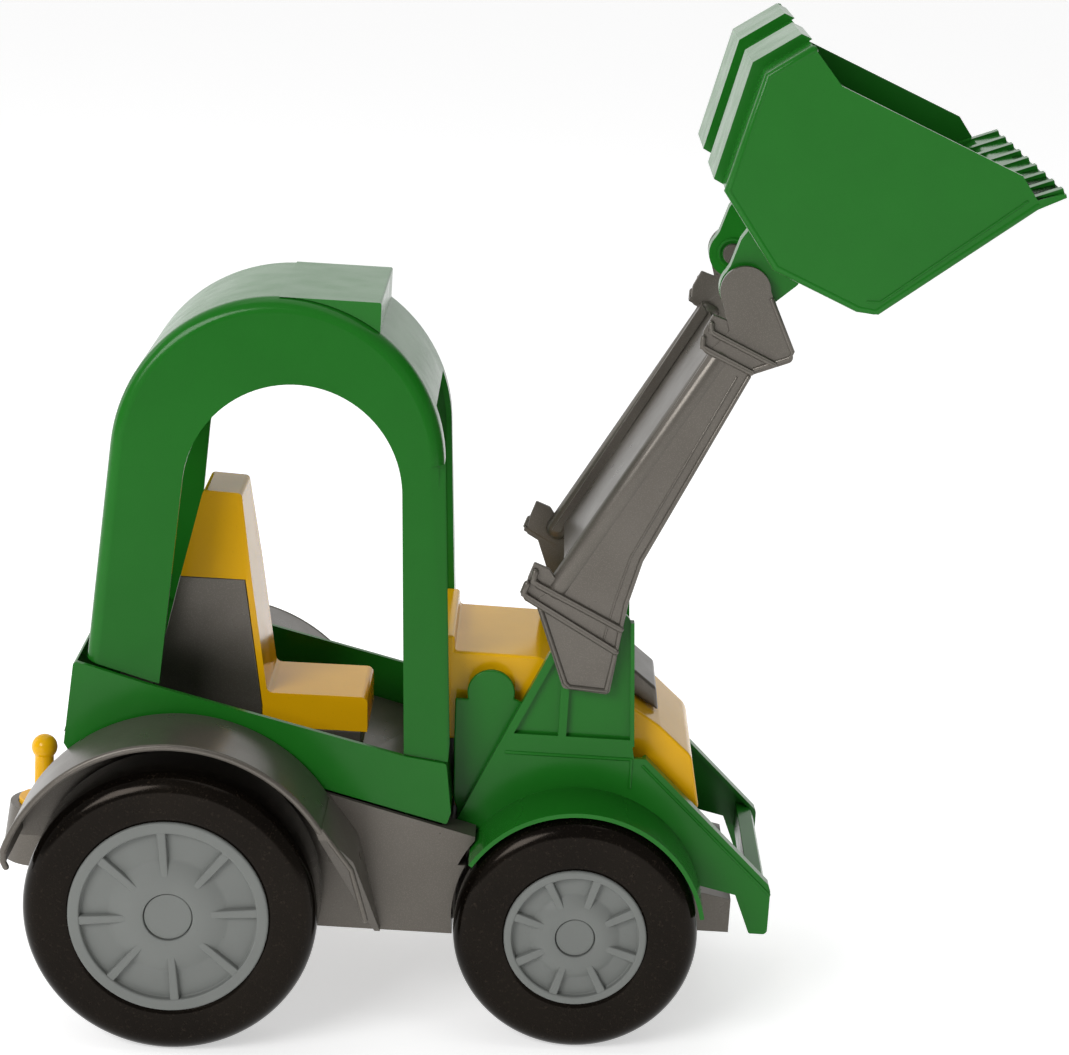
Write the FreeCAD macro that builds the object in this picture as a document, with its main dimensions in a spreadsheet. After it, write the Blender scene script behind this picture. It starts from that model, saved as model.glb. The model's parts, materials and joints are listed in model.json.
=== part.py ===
import FreeCAD, Part
import math
import os
import Sketcher
from FreeCAD import Placement, Rotation, Vector

# Toy front loader. Millimetres, +X forward, +Y to the loader's left, +Z up.
# The origin is on the ground under the middle of the toy's length and width.
# Side views are drawn from the rear axle, so x = 0 is above the rear axle, unless a start is given.

SIZES = {
    # overall layout
    "rear_axle_back": 124, "wheelbase": 165.8, "wall": 2.4, "gap": 0.3, "fit": 0.05,
    # wheels; their outer faces are rear_out beyond the cab's side and front_out beyond the loader frame
    "rear_radius": 60, "rear_width": 34, "rear_hub": 40.8, "rear_out": 45, "rear_ring": 4.8,
    "rear_cap": 10, "rear_rib_inner": 20,
    "front_radius": 50.9, "front_width": 31, "front_hub": 29.6, "front_out": 33.8, "front_ring": 3.3,
    "front_cap": 8.2, "front_rib_inner": 14,
    "shoulder": 8, "tyre_wall": 3, "tyre_bead": 10, "rib_width": 3.4, "dish": 2.6, "recess": 6,
    "rod": 2.5, "clip_outer": 5.5,
    # chassis and mudguards
    "chassis_out": 2, "chassis_floor": 42, "nose_half": 45, "nose_reach": 66.2, "nose_top": 59, "deck": 83.4,
    "guard_clear": 12.6, "guard_out": 42, "guard_wall": 2.4,
    "screw": 1.5, "screw_head": 3.2, "cup_top": 8,
    # hitch
    "hitch_back": 68.5, "hitch_ball": 5.6, "hitch_shank": 4.1, "hitch_collar": 10.6,
    "hitch_collar_top": 68.6, "hitch_ball_high": 91.3, "socket_top": 66.4, "socket_radius": 14.4,
    # cab
    "cab_half": 62, "sill_rear": 151.7, "sill_front": 116.4, "cab_back": 47.2, "cab_front": 111.3,
    "arch_centre": 32, "arch_height": 236, "arch_radius": 68.7, "door_centre": 39, "door_height": 225,
    "door_radius": 45.1, "arch_inset": 2, "arch_top_half": 44.6, "roof_top": 304.7,
    "visor_front": 71.5, "visor_half": 41.5, "window_half": 38,
    # seat
    "seat_half": 22, "seat_top_half": 16, "seat_top": 215.6, "seat_split": 179,
    "cushion_top": 129.6, "cushion_front": 72.4, "cab_floor": 112,
    # hood
    "hood_half": 35.5, "hood_top": 157.4, "cradle_half": 42.4, "intake_half": 20,
    # loader frame; bumper_reach is ahead of the front axle
    "frame_half": 48.6, "lift_ahead": 0.2, "lift_z": 168, "lift_pin": 5, "tower_top": 15,
    "bumper_reach": 82.4, "bumper_foot": 43.5, "fender_clear": 3.1, "fender_wall": 1.8,
    "fender_out": 31.4, "ledge": 127,
    # arm; its webs run arm_out beyond the loader frame, and the tilt pivot is tilt_ahead of the lift pivot
    "arm_out": 3, "arm_wall": 2.4, "collar_out": 2, "tilt_ahead": 51.3, "tilt_z": 320.2,
    "tilt_pin": 4.4, "head_radius": 10.2,
    # bucket
    "bucket_half": 93, "bucket_wall": 2.6, "band_step": 3.4, "band_inner": 20, "band_outer": 68,
    "lug_deep": 10.2, "lug_gap": 2.2, "lug_radius": 10.3, "lip_reach": 11.5,
}

doc = FreeCAD.newDocument("front_loader")
sheet = doc.addObject("Spreadsheet::Sheet", "D")
for row, (alias, number) in enumerate(SIZES.items(), start=1):
    sheet.set("A%d" % row, alias)
    sheet.set("B%d" % row, str(number))
    sheet.setAlias("B%d" % row, alias)
doc.recompute()

SIDE = Rotation(Vector(1, 0, 0), 90)        # sketch x is +X, sketch y is +Z
FRONT = Rotation(Vector(1, 1, 1), 120)      # sketch x is +Y, sketch y is +Z
LIFT_X = "(D.wheelbase + D.lift_ahead)"
TILT_X = "(D.wheelbase + D.lift_ahead + D.tilt_ahead)"
FACE = {"rear": "(D.cab_half + D.rear_out)", "front": "(D.frame_half + D.front_out)"}
parts = {}


def size(text):
    """The value of an expression on the sheet."""
    return float(sheet.evalExpression(text))


def fixed(sketch, geometry, point, x, y):
    """Hold one point of a sketch at two expressions of the sheet."""
    for kind, text in (("DistanceX", x), ("DistanceY", y)):
        index = sketch.addConstraint(Sketcher.Constraint(kind, -1, 1, geometry, point, size(text)))
        sketch.setExpression("Constraints[%d]" % index, text)


def radius_of(sketch, geometry, text):
    index = sketch.addConstraint(Sketcher.Constraint("Radius", geometry, size(text)))
    sketch.setExpression("Constraints[%d]" % index, text)


def draw_outline(sketch, corners):
    """A closed outline through the corners; a corner's third entry is its rounding radius."""
    places = [Vector(size(corner[0]), size(corner[1]), 0) for corner in corners]
    count = len(corners)
    into = list(places)
    out = list(places)
    arcs = {}
    for i in range(count):
        if len(corners[i]) == 3:
            radius = size(corners[i][2])
            back = (places[i - 1] - places[i]).normalize()
            ahead = (places[(i + 1) % count] - places[i]).normalize()
            half = back.getAngle(ahead) / 2
            into[i] = places[i] + back * (radius / math.tan(half))
            out[i] = places[i] + ahead * (radius / math.tan(half))
            centre = places[i] + (back + ahead).normalize() * (radius / math.sin(half))
            left_turn = ahead.cross(back).z > 0
            ends = (into[i], out[i]) if left_turn else (out[i], into[i])
            angles = [math.atan2(end.y - centre.y, end.x - centre.x) for end in ends]
            circle = Part.Circle(centre, Vector(0, 0, 1), radius)
            arcs[i] = (Part.ArcOfCircle(circle, angles[0], angles[1]), left_turn)
    for i in range(count):
        sketch.addGeometry(Part.LineSegment(out[i], into[(i + 1) % count]), False)
    for i in range(count):
        before = (i - 1) % count
        if i not in arcs:
            sketch.addConstraint(Sketcher.Constraint("Coincident", before, 2, i, 1))
            fixed(sketch, i, 1, corners[i][0], corners[i][1])
            continue
        arc, left_turn = arcs[i]
        bend = sketch.addGeometry(arc, False)
        apex = sketch.addGeometry(Part.Point(places[i]), True)
        first, last = (1, 2) if left_turn else (2, 1)
        sketch.addConstraint(Sketcher.Constraint("Tangent", before, 2, bend, first))
        sketch.addConstraint(Sketcher.Constraint("Tangent", bend, last, i, 1))
        sketch.addConstraint(Sketcher.Constraint("PointOnObject", apex, 1, before))
        sketch.addConstraint(Sketcher.Constraint("PointOnObject", apex, 1, i))
        fixed(sketch, apex, 1, corners[i][0], corners[i][1])
        radius_of(sketch, bend, corners[i][2])


def outline(name, corners, turn=SIDE):
    sketch = doc.addObject("Sketcher::SketchObject", name + "_outline")
    sketch.Placement = Placement(Vector(0, 0, 0), turn)
    draw_outline(sketch, corners)
    return sketch


def prism(name, corners, low, high, turn=SIDE):
    """An outline stretched from low to high along the axis that it faces."""
    solid = doc.addObject("Part::Extrusion", name)
    solid.Base = outline(name, corners, turn)
    solid.DirMode = "Custom"
    solid.Dir = Vector(0, 1, 0) if turn is SIDE else Vector(1, 0, 0)
    solid.Solid = True
    solid.setExpression("LengthFwd", high)
    solid.setExpression("LengthRev", "-(" + low + ")")
    return solid


def moved(corners, start_x, start_z):
    """The same corners, measured from another start."""
    return [(start_x + " + " + corner[0], start_z + " + " + corner[1]) + corner[2:] for corner in corners]


def front_prism(name, corners, low, high):
    """A side outline drawn from above the front axle at ground level."""
    return prism(name, moved(corners, "D.wheelbase", "0"), low, high)


def arm_prism(name, corners, low, high):
    """A side outline drawn from the lift pivot."""
    return prism(name, moved(corners, LIFT_X, "D.lift_z"), low, high)


def from_head(x, z):
    """A corner measured from the tilt pivot, for an outline that is drawn from the lift pivot."""
    return "D.tilt_ahead + %g" % x, "D.tilt_z - D.lift_z + %g" % z


def bucket_prism(name, corners, low, high):
    """A side outline drawn from the tilt pivot."""
    return prism(name, moved(corners, TILT_X, "D.tilt_z"), low, high)


def arch(name, foot_back, foot_ahead, foot_z, centre, height, radius, low, high):
    """Two straight legs that run tangent into a round top."""
    rear = Vector(size(foot_back), size(foot_z), 0)
    ahead = Vector(size(foot_ahead), size(foot_z), 0)
    middle = Vector(size(centre), size(height), 0)
    round_top = size(radius)
    tangents = []
    for foot, turn in ((ahead, 1), (rear, -1)):
        reach = foot - middle
        swing = math.acos(round_top / reach.Length)
        angle = math.atan2(reach.y, reach.x) + turn * swing
        tangents.append(angle)
    start, end = tangents
    first = middle + Vector(math.cos(start), math.sin(start), 0) * round_top
    last = middle + Vector(math.cos(end), math.sin(end), 0) * round_top
    sketch = doc.addObject("Sketcher::SketchObject", name + "_outline")
    sketch.Placement = Placement(Vector(0, 0, 0), SIDE)
    sketch.addGeometry(Part.LineSegment(ahead, first), False)
    sketch.addGeometry(Part.ArcOfCircle(Part.Circle(middle, Vector(0, 0, 1), round_top), start, end), False)
    sketch.addGeometry(Part.LineSegment(last, rear), False)
    sketch.addGeometry(Part.LineSegment(rear, ahead), False)
    sketch.addConstraint(Sketcher.Constraint("Coincident", 2, 2, 3, 1))
    sketch.addConstraint(Sketcher.Constraint("Coincident", 3, 2, 0, 1))
    sketch.addConstraint(Sketcher.Constraint("Tangent", 0, 2, 1, 1))
    sketch.addConstraint(Sketcher.Constraint("Tangent", 1, 2, 2, 1))
    fixed(sketch, 3, 1, foot_back, foot_z)
    fixed(sketch, 0, 1, foot_ahead, foot_z)
    fixed(sketch, 1, 3, centre, height)
    radius_of(sketch, 1, radius)
    solid = doc.addObject("Part::Extrusion", name)
    solid.Base = sketch
    solid.DirMode = "Custom"
    solid.Dir = Vector(0, 1, 0)
    solid.Solid = True
    solid.setExpression("LengthFwd", high)
    solid.setExpression("LengthRev", "-(" + low + ")")
    return solid


def round_bar(name, radius, x, z, low, high):
    """A cylinder along Y from low to high."""
    bar = doc.addObject("Part::Cylinder", name)
    bar.setExpression("Radius", radius)
    bar.setExpression("Height", "(" + high + ") - (" + low + ")")
    bar.Placement = Placement(Vector(0, 0, 0), Rotation(Vector(1, 0, 0), -90))
    bar.setExpression(".Placement.Base.x", x)
    bar.setExpression(".Placement.Base.y", low)
    bar.setExpression(".Placement.Base.z", z)
    return bar


def upright(name, radius, x, y, low, high):
    """A cylinder along Z from low to high."""
    post = doc.addObject("Part::Cylinder", name)
    post.setExpression("Radius", radius)
    post.setExpression("Height", "(" + high + ") - (" + low + ")")
    post.setExpression(".Placement.Base.x", x)
    post.setExpression(".Placement.Base.y", y)
    post.setExpression(".Placement.Base.z", low)
    return post


def block(name, x, y, z):
    """A box between three pairs of expressions."""
    box = doc.addObject("Part::Box", name)
    for edge, axis, pair in (("Length", "x", x), ("Width", "y", y), ("Height", "z", z)):
        box.setExpression(edge, "(" + pair[1] + ") - (" + pair[0] + ")")
        box.setExpression(".Placement.Base." + axis, pair[0])
    return box


def join(name, solids):
    fuse = doc.addObject("Part::MultiFuse", name)
    fuse.Shapes = solids
    return fuse


def cut(name, base, tool):
    result = doc.addObject("Part::Cut", name)
    result.Base = base
    result.Tool = tool
    return result


def common(name, solids):
    result = doc.addObject("Part::MultiCommon", name)
    result.Shapes = solids
    return result


def keep(node, solid, shift="-D.rear_axle_back"):
    """Name a finished sub-part and carry it from the rear axle to the part's frame."""
    solid.Label = node
    if shift:
        solid.setExpression(".Placement.Base.x", shift)
    parts[node] = solid
    return solid


def span(side, inner, outer):
    """The pair of Y values between two distances from the middle, on one side."""
    return (inner, outer) if side > 0 else ("-(" + outer + ")", "-(" + inner + ")")


SIDES = (("left", 1), ("right", -1))


# Wheels ------------------------------------------------------------------------------------------
def plane_of(body, role):
    return [item for item in body.Origin.OriginFeatures if item.Role == role][0]


def drawn(body, name, role, corners, offset=None):
    sketch = body.newObject("Sketcher::SketchObject", name)
    sketch.AttachmentSupport = [(plane_of(body, role), "")]
    sketch.MapMode = "FlatFace"
    if offset:
        sketch.setExpression(".AttachmentOffset.Base.z", offset)
    draw_outline(sketch, corners)
    return sketch


def turned(body, sketch):
    revolve = body.newObject("PartDesign::Revolution", "Turned")
    revolve.Profile = sketch
    revolve.ReferenceAxis = (sketch, ["V_Axis"])
    revolve.Angle = 360
    return revolve


def place_wheel(body, end, side):
    """Put a wheel piece, drawn with its outer face at y = 0, on its axle."""
    facing = Rotation(Vector(0, 0, 1), 0 if side > 0 else 180)
    body.Placement = Placement(Vector(0, 0, 0), facing)
    axle_x = "-D.rear_axle_back" if end == "rear" else "D.wheelbase - D.rear_axle_back"
    body.setExpression(".Placement.Base.x", axle_x)
    body.setExpression(".Placement.Base.y", ("" if side > 0 else "-") + FACE[end])
    body.setExpression(".Placement.Base.z", "D." + end + "_radius")


def tyre(end, side_name, side):
    body = doc.addObject("PartDesign::Body", "Tyre_" + end + "_" + side_name)
    wide = "-D." + end + "_width"
    bead = "D." + end + "_hub + D.fit"
    tread = "D." + end + "_radius"
    under_tread = tread + " - D.tyre_wall"
    sketch = drawn(body, "Section", "XY_Plane", [
        (bead, "-D.fit"), (bead, "-D.tyre_bead"), (bead + " + D.tyre_wall", "-D.tyre_bead"),
        (bead + " + D.tyre_wall", "-D.tyre_wall"), (under_tread, "-D.tyre_wall", "D.shoulder - D.tyre_wall"),
        (under_tread, wide), (tread, wide, "1.2"), (tread, "-D.fit", "D.shoulder")])
    turned(body, sketch)
    place_wheel(body, end, side)
    parts["tyre_" + end + "_" + side_name] = body


def hub(end, side_name, side):
    """Rim, dished web with raised ribs, and a long boss that runs on the axle rod."""
    body = doc.addObject("PartDesign::Body", "Hub_" + end + "_" + side_name)
    rim = "D." + end + "_hub"
    ring = rim + " - D." + end + "_ring"
    cap = "D." + end + "_cap"
    back = "-D." + end + "_width"
    bore = "D.rod + D.fit"
    sketch = drawn(body, "Section", "XY_Plane", [
        (rim, "0"), (rim, back + " + D.wall"), (rim + " - D.wall", back + " + D.wall"),
        (rim + " - D.wall", "-D.dish - D.wall"), (cap + " + D.wall", "-D.dish - D.wall"),
        (cap + " + D.wall", back), (bore, back), (bore, "-D.recess"), (cap, "-D.recess"),
        (cap, "0.6"), (cap + " + 2", "0.6"), ("D." + end + "_rib_inner", "-1"), (ring, "-D.dish"),
        (ring, "0")])
    turned(body, sketch)
    rib = drawn(body, "Rib", "XZ_Plane", [
        ("D." + end + "_rib_inner - 3", "-D.rib_width / 2"), (ring + " + D.fit", "-D.rib_width / 2"),
        (ring + " + D.fit", "D.rib_width / 2"), ("D." + end + "_rib_inner - 3", "D.rib_width / 2")],
        "D.fit * 4")
    pad = body.newObject("PartDesign::Pad", "RibPad")
    pad.Profile = rib
    pad.setExpression("Length", "D.dish")
    doc.recompute()
    ribs = body.newObject("PartDesign::PolarPattern", "Ribs")
    ribs.Originals = [pad]
    ribs.Axis = (rib, ["N_Axis"])
    ribs.Angle = 360
    ribs.Occurrences = 8
    body.Tip = ribs
    place_wheel(body, end, side)
    parts["hub_" + end + "_" + side_name] = body


def hub_cap(end, side_name, side):
    body = doc.addObject("PartDesign::Body", "Cap_" + end + "_" + side_name)
    reach = "D." + end + "_cap - D.fit"
    sketch = drawn(body, "Section", "XY_Plane", [
        ("0", "-1.6"), (reach + " - D.wall", "-1.6"), (reach + " - D.wall", "-D.recess + D.fit"),
        (reach, "-D.recess + D.fit"), (reach, "0.4"), ("0", "0.8")])
    turned(body, sketch)
    place_wheel(body, end, side)
    parts["hub_cap_" + end + "_" + side_name] = body


for end in ("rear", "front"):
    for side_name, side in SIDES:
        tyre(end, side_name, side)
        hub(end, side_name, side)
        hub_cap(end, side_name, side)

# The rods end inside the caps, where a push-on clip holds each wheel.
for end, axle_x in (("rear", "0"), ("front", "D.wheelbase")):
    tip = FACE[end] + " - 2.4"
    rod = round_bar(end + "_rod", "D.rod", axle_x, "D." + end + "_radius", "-(" + tip + ")", tip)
    keep(end + "_axle_rod", rod, axle_x + " - D.rear_axle_back")
    clips = []
    for side_name, side in SIDES:
        low, high = span(side, FACE[end] + " - D.recess + D.gap", FACE[end] + " - 3.6")
        ring = round_bar("Ring", "D.clip_outer", axle_x, "D." + end + "_radius", low, high)
        hole = round_bar("Hole", "D.rod + D.fit", axle_x, "D." + end + "_radius", low, high)
        clips.append(cut("Clip", ring, hole))
    keep(end + "_axle_clips", join("Clips", clips))


# Chassis tub with its nose, and the hitch socket ---------------------------------------------------
tub = prism("Tub", [
    ("-50", "D.chassis_floor"), ("118", "D.chassis_floor"), ("122", "D.chassis_floor + 4"), ("122", "85.8"),
    ("110.3", "88.8"), ("57.2", "101.8"), ("-44", "108"), ("-55", "96"), ("-57", "52")],
    "-(D.cab_half + D.chassis_out)", "D.cab_half + D.chassis_out")
hollow = prism("TubHollow", [
    ("-48", "D.chassis_floor + D.wall"), ("108", "D.chassis_floor + D.wall"), ("108", "120"), ("-42", "120"),
    ("-42", "105"), ("-52.4", "94.6"), ("-54.4", "53.4")],
    "-(D.cab_half + D.chassis_out) + D.wall", "D.cab_half + D.chassis_out - D.wall")
nose = prism("Nose", [
    ("118", "D.chassis_floor"), ("D.wheelbase + D.nose_reach", "D.chassis_floor"),
    ("D.wheelbase + D.nose_reach", "D.nose_top - 2"),
    ("D.wheelbase + 50.2", "D.nose_top + 1"), ("D.wheelbase + 34.2", "D.deck"), ("118", "D.deck")],
    "-D.nose_half", "D.nose_half")
nose_hollow = prism("NoseHollow", [
    ("124.4", "D.chassis_floor + D.wall"), ("D.wheelbase + D.nose_reach - D.wall",
        "D.chassis_floor + D.wall"),
    ("D.wheelbase + D.nose_reach - D.wall", "D.nose_top - 5"), ("D.wheelbase + 48.8", "D.nose_top - 1.6"),
    ("D.wheelbase + 32.8", "D.deck - 1.8"), ("124.4", "D.deck - 1.8")], "-D.nose_half + D.wall",
        "D.nose_half - D.wall")
mouth = block("NoseMouth", ("130", "D.wheelbase + 29.2"), ("-D.nose_half + 10", "D.nose_half - 10"),
              ("D.deck - 3.4", "D.deck + 6"))
socket = doc.addObject("Part::Cone", "Socket")
socket.setExpression("Radius1", "D.socket_radius + 3")
socket.setExpression("Radius2", "D.socket_radius")
socket.setExpression("Height", "D.socket_top - D.chassis_floor")
socket.setExpression(".Placement.Base.x", "-D.hitch_back")
socket.setExpression(".Placement.Base.z", "D.chassis_floor")
socket_hole = upright("SocketHole", "D.hitch_shank + D.fit", "-D.hitch_back", "0", "50", "D.socket_top")
socket_seat = upright("SocketSeat", "D.hitch_collar + D.gap", "-D.hitch_back", "0",
    "D.hitch_collar_top - 3.6",
                      "D.socket_top + 1")
shell = cut("TubShell", join("TubAndSocket", [cut("OpenTub", tub, hollow), socket]),
            join("SocketHoles", [socket_hole, socket_seat]))
open_nose = cut("OpenNose", nose, join("NoseSpace", [nose_hollow, mouth]))
arch_rooms = []
for side_name, side in SIDES:
    low, high = span(side, "D.frame_half - 1 - D.gap", "D.cab_half + D.chassis_out + 5")
    arch_rooms.append(round_bar("WheelRoom", "D.front_radius + 1.2", "D.wheelbase", "D.front_radius", low, high))
    arch_rooms.append(common("FenderRoom", [
        round_bar("FenderRoomRound", "D.front_radius + D.fender_clear + 1", "D.wheelbase", "D.front_radius", low, high),
        block("FenderRoomTop", ("80", "D.wheelbase + 80"), (low, high), ("D.front_radius + 22", "140"))]))
deck_room = block("DeckRoom", ("111.4", "126"), ("-D.frame_half - 1", "D.frame_half + 1"), ("D.deck", "95"))
rod_holes = join("RodHoles", [
    round_bar("RearHole", "D.rod + D.fit", "0", "D.rear_radius", "-80", "80"),
    round_bar("FrontHole", "D.rod + D.fit", "D.wheelbase", "D.front_radius", "-80", "80")])
SCREWS = [(x, y) for x in ("-30", "95") for y in ("-40", "40")]
screw_cups = [upright("ScrewCup", "6", x, y, "D.chassis_floor", "D.chassis_floor + D.cup_top") for x,
    y in SCREWS]
screw_holes = join("ScrewHoles", [
    upright("ScrewHole", "D.screw + 0.2", x, y, "D.chassis_floor - 1", "D.chassis_floor + D.cup_top + 1")
    for x, y in SCREWS] + [
    upright("HeadRoom", "D.screw_head + 0.4", x, y, "D.chassis_floor - 1", "D.chassis_floor + 5") for x,
        y in SCREWS])
keep("chassis", cut("Chassis", join("ChassisBody", [shell, open_nose] + screw_cups),
                    join("Drilled", [rod_holes, screw_holes, deck_room] + arch_rooms)))

screws = [join("Fastener", [
    upright("Shank", "D.screw", x, y, "D.chassis_floor + 4", "D.chassis_floor + 24"),
    upright("Head", "D.screw_head", x, y, "D.chassis_floor + 3", "D.chassis_floor + 5 - D.fit")]) for x,
        y in SCREWS]
keep("chassis_screws", join("Screws", screws))

ball = doc.addObject("Part::Sphere", "Ball")
ball.setExpression("Radius", "D.hitch_ball")
ball.setExpression(".Placement.Base.x", "-D.hitch_back")
ball.setExpression(".Placement.Base.z", "D.hitch_ball_high")
keep("hitch_pin", join("HitchPin", [
    ball,
    upright("Shank", "D.hitch_shank", "-D.hitch_back", "0", "52", "D.hitch_ball_high"),
    upright("Collar", "D.hitch_collar", "-D.hitch_back", "0", "D.hitch_collar_top - 3",
        "D.hitch_collar_top")]))


def mudguard(side_name, side):
    """Round band over the rear wheel, its inner wall, and a skirt that tapers down to the chassis."""
    low, high = span(side, "D.cab_half + D.chassis_out + D.gap", "D.cab_half + D.guard_out")
    wall_low, wall_high = span(side, "D.cab_half + D.chassis_out + D.gap",
                               "D.cab_half + D.chassis_out + D.gap + D.guard_wall")
    outer = "D.rear_radius + D.guard_clear"
    band = cut("Band", round_bar("BandOuter", outer, "0", "D.rear_radius", low, high),
               round_bar("BandInner", outer + " - D.guard_wall", "0", "D.rear_radius", low, high))
    over = prism("Over", [("-90", "D.rear_radius + 30"), ("0", "D.rear_radius"),
                          ("D.rear_radius + 0.2", "D.rear_radius + 39.6"), ("D.rear_radius + 30",
                              "D.rear_radius + 70"),
                          ("D.rear_radius + 30", "150"), ("-90", "150")], low, high)
    wall = common("InnerWall", [
        round_bar("WallDisc", outer + " - 0.5", "0", "D.rear_radius", wall_low, wall_high),
        prism("WallTop", [("-80", "76"), ("60", "76"), ("60", "140"), ("-80", "140")], wall_low, wall_high)])
    skirt = prism("Skirt", [
        ("D.rear_radius - 1.6", "D.rear_radius + 38.6"), ("D.rear_radius + 22", "42.6"),
        ("D.rear_radius + 24.4", "42.6"), ("D.rear_radius + 13.4", "D.rear_radius + 24"),
        ("D.rear_radius + 0.6", "D.rear_radius + 40.6")], low, high)
    taper = prism("Taper", span_points(side, [
        ("D.cab_half + D.guard_out", "96"), ("D.cab_half + D.chassis_out + 3", "42"),
        ("D.cab_half + D.guard_out + 5", "30")]), "40", "95", FRONT)
    tail = prism("Tail", [
        ("-D.rear_radius - 8.9", "D.rear_radius + 23.4"), ("-D.rear_radius - 8.8", "D.rear_radius + 19"),
        ("-D.rear_radius - 6.8", "D.rear_radius + 15.4", "1"), ("-D.rear_radius - 6.2", "D.rear_radius + 19.4"),
        ("-D.rear_radius - 6.3", "D.rear_radius + 24.2")], low, high)
    solid = join("Guard", [common("BandTop", [band, over]), wall, tail, cut("TaperedSkirt", skirt, taper)])
    keep("rear_mudguard_" + side_name, solid)


def span_points(side, corners):
    """Front-view corners, mirrored for the right-hand side."""
    if side > 0:
        return corners
    return [("-(" + y + ")", z) for y, z in reversed(corners)]


for side_name, side in SIDES:
    mudguard(side_name, side)

# Cab: lower body, arched frame with roof, seat on its base -----------------------------------------
body_outline = [
    ("-D.cab_back", "D.sill_rear", "1.5"), ("-50.5", "115.8"), ("-46", "108.6 + D.gap"),
    ("57.2", "102.4 + D.gap"), ("D.cab_front - 1.5", "89.6 + D.gap", "1"), ("D.cab_front", "95"),
    ("D.cab_front - 3", "D.sill_front", "1.5"), ("91.6", "D.sill_front + 2.2"), ("-15.4", "D.sill_rear - 8.5")]
body_space = [
    ("-D.cab_back + D.wall", "D.sill_rear + 20"), ("-48", "116.2"), ("-44.8", "108.9 + D.gap + D.wall"),
    ("57.6", "104.8 + D.gap"), ("D.cab_front - D.wall - 1.6", "92.4"), ("D.cab_front - D.wall", "95.4"),
    ("D.cab_front - D.wall - 3", "D.sill_front + 20")]
lower = prism("LowerBody", body_outline, "-D.cab_half", "D.cab_half")
space = prism("LowerSpace", body_space, "-D.cab_half + D.wall", "D.cab_half - D.wall")
posts = [upright("Post", "4.5", x, y, "D.chassis_floor + D.cup_top + D.gap", "94.4 + 13.6 * %d" % (float(x) < 0))
         for x, y in SCREWS]
screw_room = join("ScrewRoom", [upright("Room", "D.screw + D.fit", x, y, "D.chassis_floor",
    "D.chassis_floor + 25")
                                for x, y in SCREWS])
cab_shell = join("CabShell", [cut("HollowBody", lower, space)] + posts)
keep("cab_body", cut("CabBody", cab_shell, screw_room))

SILL = [("-80", "D.sill_rear + D.gap + 8.8"), ("-80", "60"), ("140", "60"), ("140", "D.sill_front + D.gap - 4.2"),
        ("91.6", "D.sill_front + D.gap + 2.2"), ("-15.4", "D.sill_rear + D.gap - 8.5")]
frame_outer = arch("ArchOuter", "-D.cab_back + 0.6", "D.cab_front - 1.4", "100", "D.arch_centre",
    "D.arch_height",
                   "D.arch_radius", "-D.cab_half", "D.cab_half")
frame_inner = arch("ArchInner", "-D.cab_back + 0.6 + D.wall", "D.cab_front - 1.4 - D.wall", "99",
    "D.arch_centre",
                   "D.arch_height", "D.arch_radius - D.wall", "-D.cab_half", "D.cab_half")
door = arch("Door", "-15.4", "91.6", "98", "D.door_centre", "D.door_height", "D.door_radius",
            "-D.cab_half", "D.cab_half")


def lean(name, inset):
    """Front view of the cab: sides that lean in from the sill to the roof."""
    foot = "D.cab_half - D.arch_inset - " + inset
    return prism(name, [
        (foot, "118"), ("D.arch_top_half - " + inset, "D.roof_top + 5"),
        ("-D.arch_top_half + " + inset, "D.roof_top + 5"), ("-(" + foot + ")", "118"),
        ("-(" + foot + ")", "90"), (foot, "90")], "-90", "150", FRONT)


visor = prism("Visor", [("30", "D.roof_top - 4"), ("D.visor_front", "D.roof_top - 14"),
                        ("D.visor_front", "D.roof_top", "1"), ("30", "D.roof_top")], "-D.visor_half",
                            "D.visor_half")
skin = cut("ArchSkin", common("Leaning", [join("ArchAndVisor", [frame_outer, visor]), lean("LeanOuter",
    "0")]),
           common("Core", [frame_inner, lean("LeanInner", "D.wall")]))
windows = join("Windows", [
    prism("Windscreen", [("-D.window_half", "80"), ("D.window_half", "80"), ("D.window_half - 3", "262"),
                         ("-D.window_half + 3", "262")], "78", "150", FRONT),
    prism("RearWindow", [("-D.window_half", "80"), ("D.window_half", "80"), ("D.window_half - 3", "246"),
                         ("-D.window_half + 3", "246")], "-90", "-18", FRONT)])
keep("cab_arch", cut("CabArch", skin, join("ArchOpenings", [door, windows, prism("BelowSill", SILL, "-70",
    "70")])))

base_block = prism("SeatBlock", [
    ("-24", "D.cab_floor + D.wall"), ("-19.4", "130"), ("-9", "D.seat_split"), ("18.4", "D.seat_split"),
    ("27.6", "D.cushion_top - 6"), ("27.6", "D.cab_floor + D.wall"), ("D.cushion_front - 2", "D.cab_floor + D.wall"),
    ("D.cushion_front - 2", "103"), ("57.6", "106")], "-D.seat_half", "D.seat_half")
floor = prism("CabFloor", [
    ("-D.cab_back + D.wall + 3", "D.cab_floor"), ("57.6", "105.4"), ("D.cab_front - D.wall - 7", "94.3"),
    ("D.cab_front - D.wall - 7", "94.3 + D.wall"), ("57.6", "105.4 + D.wall"),
    ("-D.cab_back + D.wall + 3", "D.cab_floor + D.wall")], "-D.cab_half + D.wall + 1", "D.cab_half - D.wall - 1")
under = prism("SeatUnder", [
    ("-20", "D.cab_floor - 1"), ("-16", "130"), ("-6", "D.seat_split - D.wall"), ("15.8",
        "D.seat_split - D.wall"),
    ("24.6", "D.cushion_top - 9"), ("24.6", "D.cab_floor - 1")], "-D.seat_half + D.wall",
        "D.seat_half - D.wall")
keep("seat_base", cut("SeatBase", join("BaseAndFloor", [base_block, floor]), under))

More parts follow.
